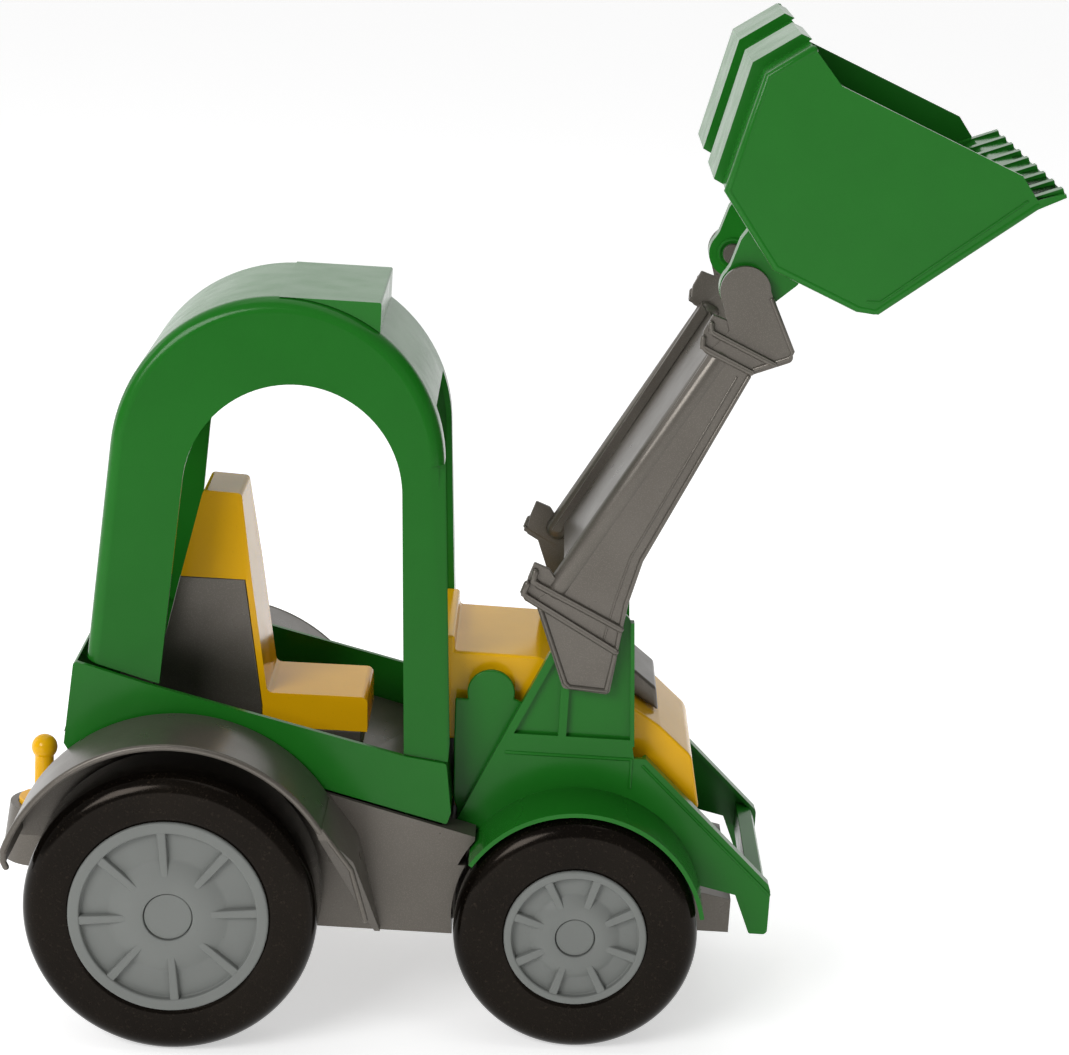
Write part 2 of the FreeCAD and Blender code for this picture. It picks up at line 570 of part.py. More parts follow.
seat_back = prism("SeatBack", [
    ("-8.8", "D.seat_split + D.fit"), ("-1", "D.seat_top", "2"), ("15.2", "D.seat_top - 0.6", "2"),
    ("29.6", "D.cushion_top", "3"), ("D.cushion_front", "D.cushion_top + 0.4", "3"),
    ("D.cushion_front + 0.6", "D.cab_floor + D.wall + D.fit"), ("27.8", "D.cab_floor + D.wall + D.fit"),
    ("27.8", "D.cushion_top - 6"), ("18.6", "D.seat_split + D.fit")], "-D.seat_half", "D.seat_half")
narrowing = prism("Narrowing", [
    ("D.seat_half", "100"), ("D.seat_half", "D.seat_split"), ("D.seat_top_half", "D.seat_top + 2"),
    ("-D.seat_top_half", "D.seat_top + 2"), ("-D.seat_half", "D.seat_split"), ("-D.seat_half", "100")],
    "-20", "90", FRONT)
keep("seat", common("Seat", [seat_back, narrowing]))

# Hood, its cradle with the round lugs, and the air intake -------------------------------------------
hood_top = [
    ("102", "D.hood_top + 6.6", "1.5"), ("108.2", "D.hood_top + 6.6", "1.5"), ("108.8", "D.hood_top"),
    ("D.wheelbase - 21.8", "D.hood_top - 0.4", "6"), ("D.wheelbase + 18.8", "137.6", "6"),
    ("D.wheelbase + 31.2", "129.6", "8"), ("D.wheelbase + 45.6", "117", "8"), ("D.wheelbase + 50.2", "94")]
hood_solid = prism("HoodSolid", [("102", "D.sill_front + 2")] + hood_top + [
    ("D.wheelbase + 39.2", "88"), ("D.cab_front + 0.8", "88"), ("D.cab_front + 0.8", "D.sill_front + 2")],
                   "-D.hood_half", "D.hood_half")
hood_space = prism("HoodSpace", [
    ("D.cab_front + 3.2", "D.sill_front + 4.4"), ("104.4", "D.sill_front + 4.4"),
    ("104.4", "D.hood_top - 2.4"), ("D.wheelbase - 22.4", "D.hood_top - 3"), ("D.wheelbase + 18.2", "134.6"),
    ("D.wheelbase + 30.2", "127"), ("D.wheelbase + 43.4", "115.4"), ("D.wheelbase + 47.6", "94"),
    ("D.wheelbase + 39.2", "80"), ("D.cab_front + 3.2", "80")],
    "-D.hood_half + D.wall", "D.hood_half - D.wall")
keep("hood", cut("Hood", hood_solid, hood_space))

intake = front_prism("Intake", [
    ("-5.8", "149.4"), ("-5.8", "160", "2"), ("20.2", "148.4", "4"), ("29.2", "141.4", "3"), ("30.8", "131"),
    ("19.2", "138.4")], "-D.intake_half", "D.intake_half")
keep("air_intake", cut("AirIntake", intake, front_prism("IntakeSeat", [
    ("-45.8", "80"), ("-63.8", "D.hood_top + D.fit"), ("-21.2", "D.hood_top - 0.3"), ("19.1", "138"),
    ("31.4", "130"), ("46", "117.2"), ("48.2", "80")], "-D.hood_half", "D.hood_half")))

cradle_sides = []
for side_name, side in SIDES:
    low, high = span(side, "D.cradle_half - D.wall", "D.cradle_half")
    panel = prism("CradlePanel", [
        ("113.4", "D.deck + D.gap"), ("113.4", "138.6"), ("D.wheelbase - 31.2", "140"),
        ("D.wheelbase - 15.8", "134"), ("D.wheelbase + 4.2", "110"), ("D.wheelbase + 4.2", "D.deck + D.gap")],
        low, high)
    strip = prism("CradleStrip", [("114", "88"), ("D.cab_front + D.gap", "95"), ("110.6", "D.sill_front + 4"),
                                  ("110.2", "138.8"), ("116", "138.6")], low, high)
    lug = round_bar("CradleLug", "10", "125", "142", low, high)
    cradle_sides += [panel, strip, lug]
cradle_floor = block("CradleFloor", ("113.4", "D.wheelbase + 4.2"), ("-D.cradle_half", "D.cradle_half"),
                     ("D.deck + D.gap", "D.deck + 2.4"))
cradle_clear = prism("CradleClear", [("100", "80"), ("D.cab_front + D.gap", "80"), ("D.cab_front + D.gap",
    "95"),
                                     ("110.4", "D.sill_front"), ("104", "D.sill_front"), ("100", "119")],
                     "-D.cab_half", "D.cab_half")
keep("hood_cradle", cut("Cradle", join("CradleAll", cradle_sides + [cradle_floor]), cradle_clear))


# Loader frame: on each side a tower, a front fender and a sloping bumper plate ----------------------
def loader_frame(side_name, side):
    low, high = span(side, "D.frame_half - D.wall", "D.frame_half")
    plate = front_prism("Plate", [
        ("-53.2", "84.8"), ("-32.4", "D.ledge"), ("19", "D.ledge"), ("20.6", "119"), ("25.7", "119"),
        ("D.bumper_reach - 1", "66"), ("D.bumper_reach", "63"), ("D.bumper_reach", "D.bumper_foot", "2"),
        ("74.6", "D.bumper_foot", "1"), ("67.6", "60.6"), ("49.2", "64.6"), ("0", "D.front_radius"),
        ("-41.2", "78.6"), ("-43.2", "84")], low, high)
    outer = "D.front_radius + D.fender_clear"
    arch_room = round_bar("ArchRoom", outer + " - D.fender_wall", "D.wheelbase", "D.front_radius", low, high)
    tower_low, tower_high = span(side, "D.frame_half - 5", "D.frame_half - 2.6")
    tower = front_prism("Tower", [
        ("-35.8", "118"), ("-13.2", "172"), ("-11.4", "D.lift_z + D.tower_top", "6"),
        ("15.2", "D.lift_z + D.tower_top - 2", "5"), ("20.2", "118")], tower_low, tower_high)
    rim_low, rim_high = span(side, "D.frame_half - 5", "D.frame_half")
    rims = [
        front_prism("RearRim", [("-53.2", "84.8"), ("-50.4", "83.6"), ("-10.2", "170.4"), ("-13.2", "172")],
              rim_low, rim_high),
        front_prism("MiddleRib", [("-11.8", "124"), ("-8.4", "124"), ("-8.4", "160"), ("-11.8", "160")],
            rim_low, rim_high),
        front_prism("FrontRim", [("16.8", "178"), ("15.2", "178"), ("18.6", "124"), ("20.4", "124")],
            rim_low, rim_high),
        front_prism("Ledge", [("-33.8", "123.6"), ("19.4", "123.6"), ("19.2", "D.ledge"), ("-32.4",
            "D.ledge")],
              rim_low, rim_high),
        round_bar("PivotBoss", "9", LIFT_X, "D.lift_z", rim_low, rim_high)]
    fender_low, fender_high = span(side, "D.frame_half - 1", "D.frame_half + D.fender_out")
    fender = common("Fender", [
        cut("FenderBand",
            round_bar("FenderOuter", outer, "D.wheelbase", "D.front_radius", fender_low, fender_high),
            round_bar("FenderInner", outer + " - D.fender_wall", "D.wheelbase", "D.front_radius",
                      fender_low, fender_high)),
        front_prism("FenderSector", [("0", "D.front_radius"), ("74.2", "66"), ("74.2", "130"), ("-75.8",
            "130"),
                               ("-75.8", "98")], fender_low, fender_high)])
    flange_low, flange_high = span(side, "D.frame_half - 6", "D.frame_half")
    flange = front_prism("Flange", [("24.2", "118.4"), ("25.7", "119"), ("D.bumper_reach - 1", "66"),
                              ("D.bumper_reach - 3", "65.4")], flange_low, flange_high)
    pin_hole = round_bar("PinHole", "D.lift_pin + D.fit", LIFT_X, "D.lift_z", rim_low, rim_high)
    solid = join("FrameSolid", [cut("PlateArched", plate, arch_room), tower, fender, flange] + rims)
    keep("loader_frame_" + side_name, cut("Frame", solid, pin_hole))


for side_name, side in SIDES:
    loader_frame(side_name, side)

crossbar = front_prism("Crossbar", [("72.6", "56"), ("D.bumper_reach - 2", "56"), ("D.bumper_reach - 2",
    "64"),
                              ("79.2", "66.6"), ("72.6", "67.6")],
                 "-D.frame_half + D.wall + D.fit", "D.frame_half - D.wall - D.fit")
flange_room = join("FlangeRoom", [
    front_prism("FlangeRoomPart", [("19.2", "124"), ("19.2", "116"), ("D.bumper_reach - 3.2", "65"),
                             ("D.bumper_reach + 4", "63")], *span(side, "D.frame_half - 6 - D.fit",
                                 "D.frame_half"))
    for side_name, side in SIDES])
keep("front_crossbar", cut("CrossbarCut", crossbar, flange_room))

# Lifting arm: two webs, the plate between them, collars, and the pins moulded on its heads ----------
arm_pieces = []
for side_name, side in SIDES:
    low, high = span(side, "D.frame_half + D.arm_out - D.arm_wall", "D.frame_half + D.arm_out")
    web = arm_prism("Web", [
        ("-11.4", "-19", "2"), ("8", "-20.6", "2"), ("10.6", "-1"), ("13", "19"), ("18", "38"),
        from_head(4.3, -34.2), from_head(21.9, -27.2) + ("2.5",), from_head(9.6, 2), from_head(0, 0),
        from_head(-10, -1), from_head(-5.3, -16.6), from_head(-11.3, -23.6), ("-18.6", "23"), ("-25.2",
            "18")],
        low, high)
    head = round_bar("HeadDisc", "D.head_radius", TILT_X, "D.tilt_z", low, high)
    collar_low, collar_high = span(side, "D.frame_half + D.arm_out - D.arm_wall",
        "D.frame_half + D.arm_out + D.collar_out")
    collars = [arm_prism("Collar", corners, collar_low, collar_high) for corners in (
        [("-30.6", "22.4"), ("-31.2", "20.6"), ("9.2", "-2.4"), ("10", "-0.4")],
        [("-27.2", "28"), ("-27.6", "26.2"), ("10.8", "7.4"), ("11.4", "9.2")],
        [from_head(-16.3, -22), from_head(-16.9, -23.8), from_head(4.7, -33.6), from_head(5.7, -32)],
        [from_head(-13.3, -15.6), from_head(-13.7, -17.4), from_head(13.7, -29.8), from_head(14.7, -28.2)])]
    bead_low, bead_high = span(side, "D.frame_half + D.arm_out - 8", "D.frame_half + D.arm_out")
    bead = arm_prism("Bead", [("-18.6", "23"), ("-15.2", "22"), from_head(-8.7, -27.6), from_head(-11.3,
        -23.6)],
                     bead_low, bead_high)
    lift_low, lift_high = span(side, "D.frame_half - 6.6", "D.frame_half + D.arm_out - D.fit")
    tilt_low, tilt_high = span(side, "D.frame_half - D.lug_deep - 2", "D.frame_half + D.arm_out - D.fit")
    arm_pieces += [web, head, bead] + collars
    arm_pieces.append(round_bar("LiftPin", "D.lift_pin", LIFT_X, "D.lift_z", lift_low, lift_high))
    arm_pieces.append(round_bar("TiltPin", "D.tilt_pin", TILT_X, "D.tilt_z", tilt_low, tilt_high))
plate = arm_prism("ArmPlate", [
    ("-13.6", "25.6"), ("-11", "24"), from_head(-5.1, -28.6), from_head(-7.7, -27)],
              "-(D.frame_half + D.arm_out) + D.fit", "D.frame_half + D.arm_out - D.fit")
keep("loader_arm", join("LoaderArm", arm_pieces + [plate]))

# Bucket: bent back and floor between two side plates, raised bands, lip ridges and pivot lugs -------
scoop = [
    ("15.4", "102.2"), ("-1.6", "91"),
    ("-13.8", "45.8"), ("7.2", "16.4"),
    ("40.6", "2.2", "4"), ("48", "1.4", "4"),
    ("107", "47.4"), ("99", "58.4", "1"),
    ("27", "88.4", "3")]
inside = [
    ("19", "101.6"), ("1", "89.4"),
    ("-11", "46.2"), ("8.8", "18.6", "4"),
    ("41.6", "4.8", "4"), ("47.2", "4.2", "4"),
    ("105.4", "49.6"), ("125", "75"), ("50", "125")]
scoop_solid = bucket_prism("Scoop", scoop, "-D.bucket_half", "D.bucket_half")
scoop_space = bucket_prism("ScoopSpace", inside, "-D.bucket_half + D.bucket_wall",
    "D.bucket_half - D.bucket_wall")
bucket_pieces = [cut("ScoopShell", scoop_solid, scoop_space)]
bucket_pieces.append(bucket_prism("Lip", [
    ("104", "45"), ("D.lip_reach + 105", "51.2"),
    ("D.lip_reach + 104.6", "52.6"), ("105", "49.4"),
    ("102.4", "47.2")], "-D.bucket_half", "D.bucket_half"))
for ridge in range(9):
    middle = "(D.bucket_half - 7) * %g" % (ridge / 4 - 1)
    bucket_pieces.append(bucket_prism("Ridge", [
        ("98", "43.6"), ("D.lip_reach + 105", "51.4"),
        ("D.lip_reach + 104", "54.2"), ("97", "47")],
        middle + " - 2.6", middle + " + 2.6"))
for side_name, side in SIDES:
    low, high = span(side, "D.band_inner", "D.band_outer")
    bucket_pieces.append(bucket_prism("Band", [
        ("16.6", "103"), ("14.4 - 0.6 * D.band_step", "102 + 0.8 * D.band_step"),
        ("-2.6 - 0.9 * D.band_step", "91 + 0.5 * D.band_step"),
        ("-13.8 - D.band_step", "46 + 0.2 * D.band_step"),
        ("-12.6", "44.4"), ("-0.6", "90")], low, high))
    lug_low, lug_high = span(side, "D.frame_half - D.lug_deep", "D.frame_half - D.lug_gap")
    bucket_pieces.append(round_bar("Lug", "D.lug_radius", TILT_X, "D.tilt_z", lug_low, lug_high))
    bucket_pieces.append(bucket_prism("LugWeb", [
        ("-9.6", "3.6"), ("2", "-10.1"), ("12.5", "-4.6"), ("21", "3"), ("24", "9.8"), ("7.8", "17.6"), ("1", "26"),
        ("-3", "20"), ("-6.5", "9")],
        lug_low, lug_high))
pin_bores = round_bar("PinBores", "D.tilt_pin + D.fit", TILT_X, "D.tilt_z", "-D.frame_half", "D.frame_half")
keep("bucket", cut("Bucket", join("BucketAll", bucket_pieces), pin_bores))

# Check and write ------------------------------------------------------------------------------------
doc.recompute()
for item in doc.Objects:
    if "Invalid" in item.State or "Error" in item.State:
        raise RuntimeError("%s (%s) failed: %s" % (item.Label, item.Name, item.State))
for node, item in parts.items():
    if item.Shape.isNull() or not item.Shape.isValid() or not item.Shape.Solids:
        raise RuntimeError(node + " has no valid solid")
os.makedirs("parts", exist_ok=True)
for node, item in parts.items():
    item.Shape.exportStep(os.path.join("parts", node + ".step"))
    box = item.Shape.BoundBox
    print("%-26s solids %d  volume %9.0f  x %7.1f %7.1f  y %7.1f %7.1f  z %6.1f %6.1f" % (
        node, len(item.Shape.Solids), item.Shape.Volume, box.XMin, box.XMax, box.YMin, box.YMax, box.ZMin,
            box.ZMax))
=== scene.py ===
"""Looks of the toy front loader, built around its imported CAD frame.

Metres, +X forward, +Y to the loader's left, +Z up. Sizes named here are in millimetres and are scaled by MM.
"""
import json
import math

import bmesh
import bpy
from mathutils import Matrix, Vector


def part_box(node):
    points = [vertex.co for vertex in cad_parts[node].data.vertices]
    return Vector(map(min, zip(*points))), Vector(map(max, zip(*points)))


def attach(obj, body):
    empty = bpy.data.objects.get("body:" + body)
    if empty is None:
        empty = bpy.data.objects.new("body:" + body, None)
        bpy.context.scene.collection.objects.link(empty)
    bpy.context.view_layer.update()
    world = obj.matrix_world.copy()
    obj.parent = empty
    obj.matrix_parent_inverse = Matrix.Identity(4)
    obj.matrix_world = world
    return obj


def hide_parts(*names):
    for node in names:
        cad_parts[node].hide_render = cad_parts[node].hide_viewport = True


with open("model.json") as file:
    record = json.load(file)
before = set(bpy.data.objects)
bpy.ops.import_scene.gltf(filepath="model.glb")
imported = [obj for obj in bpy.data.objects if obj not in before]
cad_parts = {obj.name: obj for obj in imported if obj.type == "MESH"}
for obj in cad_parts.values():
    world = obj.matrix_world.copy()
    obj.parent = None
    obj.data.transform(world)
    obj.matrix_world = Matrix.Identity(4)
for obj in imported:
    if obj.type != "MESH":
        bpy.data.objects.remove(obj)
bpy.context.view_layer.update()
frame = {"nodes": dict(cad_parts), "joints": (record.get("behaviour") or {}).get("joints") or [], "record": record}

MM = 0.001
SIDES = (("left", 1), ("right", -1))
JOINTS = {joint["name"]: Vector(joint["pos_m"]) for joint in frame["joints"]}
REAR = Vector((JOINTS["wheel_rear_left_spin"].x, 0, JOINTS["wheel_rear_left_spin"].z))
FRONT = Vector((JOINTS["wheel_front_left_spin"].x, 0, JOINTS["wheel_front_left_spin"].z))
TILT = JOINTS["bucket_tilt"]


# Materials ---------------------------------------------------------------------------------------
RANGE_SOCKETS = ("From Min", "From Max", "To Min", "To Max")


class Shader:
    """A node material that is filled step by step. Coordinates are the object's own, in millimetres."""

    def __init__(self, name):
        self.material = bpy.data.materials.new(name)
        self.material.use_nodes = True
        self.tree = self.material.node_tree
        self.surface = self.tree.nodes["Principled BSDF"]
        place = self.node("ShaderNodeTexCoord")
        scale = self.node("ShaderNodeVectorMath", operation="SCALE")
        scale.inputs["Scale"].default_value = 1 / MM
        self.link(place.outputs["Object"], scale.inputs[0])
        self.place = scale.outputs["Vector"]

    def node(self, kind, **settings):
        made = self.tree.nodes.new(kind)
        for key, value in settings.items():
            setattr(made, key, value)
        return made

    def link(self, start, end):
        self.tree.links.new(start, end)

    def noise(self, size, detail, rough=0.5):
        """Noise whose lumps are about size millimetres across."""
        made = self.node("ShaderNodeTexNoise")
        made.inputs["Scale"].default_value = 1 / size
        made.inputs["Detail"].default_value = detail
        made.inputs["Roughness"].default_value = rough
        self.link(self.place, made.inputs["Vector"])
        return made.outputs["Fac"]

    def stretch(self, value, low, high, out_low, out_high):
        """Map the range from low to high onto the range from out_low to out_high."""
        made = self.node("ShaderNodeMapRange")
        for socket, number in zip(RANGE_SOCKETS, (low, high, out_low, out_high)):
            made.inputs[socket].default_value = number
        self.link(value, made.inputs["Value"])
        return made.outputs["Result"]

    def mix(self, factor, first, second):
        """Mix of two colours; each is a colour or a socket."""
        made = self.node("ShaderNodeMix", data_type="RGBA")
        self.link(factor, made.inputs["Factor"])
        for socket, value in ((made.inputs[6], first), (made.inputs[7], second)):
            if isinstance(value, bpy.types.NodeSocket):
                self.link(value, socket)
            else:
                socket.default_value = (*value, 1)
        return made.outputs[2]

    def bump(self, height, strength, depth):
        """Bumps that are depth millimetres deep at full strength."""
        made = self.node("ShaderNodeBump")
        made.inputs["Strength"].default_value = strength
        made.inputs["Distance"].default_value = depth * MM
        self.link(height, made.inputs["Height"])
        self.link(made.outputs["Normal"], self.surface.inputs["Normal"])


def shade(colour, factor):
    """The colour made lighter or darker."""
    return tuple(channel * factor for channel in colour)


def moulded(name, colour, rough, gloss):
    """Injection-moulded plastic: faint flow mottling, orange peel, and patches of worn gloss."""
    shader = Shader(name)
    flow = shader.stretch(shader.noise(38, 3), 0.35, 0.65, 0, 1)
    tint = shader.mix(flow, shade(colour, 0.97), shade(colour, 1.04))
    specks = shader.stretch(shader.noise(0.9, 1), 0.68, 0.8, 0, 0.2)
    shader.link(shader.mix(specks, tint, shade(colour, 0.62)), shader.surface.inputs["Base Color"])
    wear = shader.stretch(shader.noise(14, 3), 0.35, 0.7, rough - 0.03, rough + 0.04)
    shader.link(wear, shader.surface.inputs["Roughness"])
    shader.surface.inputs["Specular IOR Level"].default_value = gloss
    shader.bump(shader.noise(2.4, 2), 0.05, 0.05)
    return shader.material


def pearly(name, dark, light, rough):
    """Grey plastic with metallic pigment: fine flecks, and swirls where the melt flowed."""
    shader = Shader(name)
    swirl = shader.stretch(shader.noise(34, 3), 0.25, 0.75, 0.3, 0.9)
    base = shader.mix(swirl, shade(dark, 1.15), shade(light, 0.85))
    flecks = shader.node("ShaderNodeTexVoronoi")
    flecks.inputs["Scale"].default_value = 1 / 0.55
    shader.link(shader.place, flecks.inputs["Vector"])
    bright = shader.stretch(flecks.outputs["Distance"], 0.0, 0.42, 0.5, 0)
    shader.link(shader.mix(bright, base, shade(light, 1.6)), shader.surface.inputs["Base Color"])
    wear = shader.stretch(shader.noise(16, 3), 0.3, 0.7, rough - 0.03, rough + 0.04)
    shader.link(wear, shader.surface.inputs["Roughness"])
    shader.surface.inputs["Metallic"].default_value = 0.45
    shader.surface.inputs["Specular IOR Level"].default_value = 0.45
    shader.bump(shader.noise(1.6, 2), 0.06, 0.05)
    return shader.material


def tyre_plastic(name):
    """Glossy near-black plastic with brown specks of dust."""
    shader = Shader(name)
    cloud = shader.stretch(shader.noise(30, 3), 0.35, 0.65, 0, 1)
    base = shader.mix(cloud, (0.0022, 0.0016, 0.0012), (0.0045, 0.0034, 0.0024))
    dust = shader.stretch(shader.noise(1.3, 3, 0.7), 0.58, 0.72, 0, 0.35)
    shader.link(shader.mix(dust, base, (0.045, 0.034, 0.024)), shader.surface.inputs["Base Color"])
    shader.link(shader.stretch(shader.noise(9, 3), 0.3, 0.7, 0.14, 0.2), shader.surface.inputs["Roughness"])
    shader.surface.inputs["Specular IOR Level"].default_value = 0.14
    shader.surface.inputs["Specular Tint"].default_value = (1.0, 0.86, 0.74, 1)
    shader.bump(shader.noise(2.2, 3), 0.06, 0.04)
    return shader.material


def steel(name):
    """Drawn steel, a little uneven in tone and polish."""
    shader = Shader(name)
    tone = shader.stretch(shader.noise(3, 3), 0.3, 0.7, 0, 1)
    shader.link(shader.mix(tone, (0.42, 0.42, 0.41), (0.62, 0.62, 0.6)), shader.surface.inputs["Base Color"])
    polish = shader.stretch(shader.noise(1.5, 3), 0.3, 0.7, 0.25, 0.45)
    shader.link(polish, shader.surface.inputs["Roughness"])
    shader.surface.inputs["Metallic"].default_value = 1.0
    shader.bump(shader.noise(0.6, 2), 0.1, 0.03)
    return shader.material


FINISH = {
    "green_plastic": moulded("green_plastic", (0.011, 0.140, 0.011), 0.2, 0.2),
    "yellow_plastic": moulded("yellow_plastic", (0.80, 0.42, 0.003), 0.16, 0.22),
    "hub_grey": moulded("hub_grey", (0.170, 0.178, 0.168), 0.42, 0.22),
    "grey_plastic": pearly("grey_plastic", (0.085, 0.075, 0.063), (0.150, 0.135, 0.116), 0.3),
    "tyre": tyre_plastic("tyre_plastic"),
    "steel": steel("steel"),
}
SLOT = {row["node"]: row["material_slot"] for row in frame["record"]["subparts"]}


# Mesh tools --------------------------------------------------------------------------------------
# Corners nearer than WELD millimetres are one, and faces within FLAT_ANGLE degrees are one face.
WELD = 0.002
FLAT_ANGLE = 0.7


def finish_mesh(name, bm, slot_name, body, replaced=(), sharp=38, weighted=True):
    """Turn a bmesh into a piece with its finish, smooth shading, its body and the nodes it stands for."""
    bmesh.ops.recalc_face_normals(bm, faces=bm.faces)
    mesh = bpy.data.meshes.new(name)
    bm.to_mesh(mesh)
    bm.free()
    for polygon in mesh.polygons:
        polygon.use_smooth = True
    mesh.set_sharp_from_angle(angle=math.radians(sharp))
    mesh.materials.append(FINISH[slot_name])
    piece = bpy.data.objects.new(name, mesh)
    bpy.context.scene.collection.objects.link(piece)
    if weighted:
        modifier = piece.modifiers.new("normals", "WEIGHTED_NORMAL")
        modifier.keep_sharp = True
    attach(piece, body)
    if replaced:
        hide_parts(*replaced)


def sharp_edges(bm, test=None, angle=25):
    """Edges that bend by more than angle degrees, and whose two ends pass the test if there is one."""
    found = []
    for edge in bm.edges:
        if len(edge.link_faces) != 2 or edge.calc_face_angle(0) < math.radians(angle):
            continue
        if test is None or all(test(vert.co) for vert in edge.verts):
            found.append(edge)
    return found


def bevel(bm, edges, radius, segments, clamp=True):
    """Round the edges to a radius in millimetres."""
    bmesh.ops.bevel(bm, geom=edges, offset=radius * MM, offset_type="OFFSET", segments=segments, profile=0.5,
                    affect="EDGES", clamp_overlap=clamp)


def skin(node, body, rounding, soft=(), drop=None):
    """The visible skin of a node: its own shape with edges rounded by rounding millimetres.

    soft lists (test, radius) for rounder edges, and drop picks corners that are too close to others to round.
    """
    bm = bmesh.new()
    bm.from_mesh(frame["nodes"][node].data)
    bmesh.ops.remove_doubles(bm, verts=bm.verts, dist=WELD * MM)
    bmesh.ops.dissolve_limit(bm, angle_limit=math.radians(FLAT_ANGLE), verts=bm.verts, edges=bm.edges)
    if drop:
        bmesh.ops.dissolve_verts(bm, verts=[vert for vert in bm.verts if drop(vert.co)])
    for test, radius in soft:
        bevel(bm, sharp_edges(bm, test), radius, 5, False)
    bevel(bm, sharp_edges(bm, None, 34), rounding, 2)
    finish_mesh(node + "_skin", bm, SLOT[node], body, [node])


def lathe(bm, profile, steps, centre, side):
    """Turn a closed profile of (radius, outward) about an axis along Y; outward is measured from centre."""
    rings = []
    for step in range(steps):
        angle = 2 * math.pi * step / steps
        ring = []
        for radius, outward in profile:
            place = Vector((radius * math.cos(angle), side * outward, radius * math.sin(angle))) * MM
            ring.append(bm.verts.new(centre + place))
        rings.append(ring)
    for step in range(steps):
        here, there = rings[step], rings[(step + 1) % steps]
        for i in range(len(profile)):
            j = (i + 1) % len(profile)
            bm.faces.new((here[i], here[j], there[j], there[i]))


def arc(centre, radius, start, end, steps):
    """Points on an arc in a profile, angles in degrees."""
    points = []
    for step in range(steps + 1):
        angle = math.radians(start + (end - start) * step / steps)
        points.append((centre[0] + radius * math.cos(angle), centre[1] + radius * math.sin(angle)))
    return points


# Wheels ------------------------------------------------------------------------------------------
# Radii of each wheel, the width of its raised ring, and the angle of its first rib in degrees.
WHEELS = {
    "rear": {"axle": REAR, "tread": 60, "rim": 40.8, "ring": 4.8, "dome": 25,
             "ribs_from": 17, "cap": 10, "phase": 6},
    "front": {"axle": FRONT, "tread": 50.9, "rim": 29.6, "ring": 3.3, "dome": 19,
              "ribs_from": 12.5, "cap": 8.2, "phase": 28},
}
SHOULDER = 8
TYRE_WALL = 3
TYRE_BEAD = 10
TYRE_BACK = 1.5
HUB_WALL = 2.4
HUB_FACE = 0.55
DISH = 2.6
DOME_STEPS = 8
AXLE_BORE = 2.6
RIBS = 8
RIB_HALF_OUT = 1.85
RIB_HALF_IN = 1.45
RIB_TOP = 0.1
RIB_DROP = 0.25


def wheel(end, side_name, side):
    """Tyre, hub and hub cap of one wheel, turned about its axle and measured from the tyre's outer face."""
    wheel_size = WHEELS[end]
    body = "wheel_%s_%s" % (end, side_name)
    low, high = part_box("tyre_%s_%s" % (end, side_name))
    face = (high.y if side > 0 else -low.y) / MM
    width = (high.y - low.y) / MM
    tread = wheel_size["tread"]
    rim = wheel_size["rim"]
    centre = Vector((wheel_size["axle"].x, side * face * MM, wheel_size["axle"].z))

    bead = rim + 0.05
    inner = tread - TYRE_WALL
    profile = [(bead, -0.9), (bead + 1.2, -0.3), (bead + 2.4, -0.05)]
    profile += arc((tread - SHOULDER, -SHOULDER), SHOULDER, 90, 0, 12)
    profile += arc((tread - TYRE_BACK, -width + TYRE_BACK), TYRE_BACK, 0, -90, 4)
    profile += [(inner, -width), (inner, -TYRE_WALL - SHOULDER), (inner - SHOULDER, -TYRE_WALL),
                (bead + TYRE_WALL, -TYRE_WALL), (bead + TYRE_WALL, -TYRE_BEAD), (bead, -TYRE_BEAD)]
    bm = bmesh.new()
    lathe(bm, profile, 160, centre, side)
    finish_mesh("tyre_%s_%s_skin" % (end, side_name), bm, "tyre", body, ["tyre_%s_%s" % (end, side_name)],
                weighted=False)

    cap = wheel_size["cap"]
    ring = rim - wheel_size["ring"]
    dome = wheel_size["dome"]
    profile = [(rim, -1.0)] + arc((rim - 1.0, HUB_FACE - 1.0), 1.0, 0, 90, 4)
    profile += arc((ring + 0.8, HUB_FACE - 0.8), 0.8, 90, 180, 4)
    profile += [(ring, -DISH + 0.5), (ring - 0.5, -DISH)]
    for step in range(DOME_STEPS + 1):
        share = step / DOME_STEPS
        radius = dome - (dome - cap - 2.6) * share
        profile.append((radius, -DISH + (DISH + 0.4) * math.sin(share * math.pi / 2)))
    profile += [(cap + 0.9, 0.42), (cap + 0.25, 0.2), (cap, -0.4), (cap, -6), (AXLE_BORE, -6),
                (AXLE_BORE, -width + 3), (cap + HUB_WALL, -width + 3), (cap + HUB_WALL, -DISH - HUB_WALL),
                (rim - HUB_WALL, -DISH - HUB_WALL), (rim - HUB_WALL, -width + HUB_WALL),
                (rim, -width + HUB_WALL)]
    bm = bmesh.new()
    lathe(bm, profile, 128, centre, side)
    for count in range(RIBS):
        angle = math.radians(wheel_size["phase"] + 360 / RIBS * count)
        rib(bm, wheel_size["ribs_from"], ring, centre, side, angle)
    finish_mesh("hub_%s_%s_skin" % (end, side_name), bm, "hub_grey", body, ["hub_%s_%s" % (end, side_name)])

    bm = bmesh.new()
    reach = cap - 0.2
    profile = [(0.01, -0.5), (reach - 1.2, -0.55)] + arc((reach - 0.5, -1.05), 0.5, 90, 0, 4)
    profile += [(reach, -5.9), (reach - HUB_WALL, -5.9), (reach - HUB_WALL, -1.8), (0.01, -1.8)]
    lathe(bm, profile, 96, centre, side)
    finish_mesh("hub_cap_%s_%s_skin" % (end, side_name), bm, "hub_grey", body,
                ["hub_cap_%s_%s" % (end, side_name)])


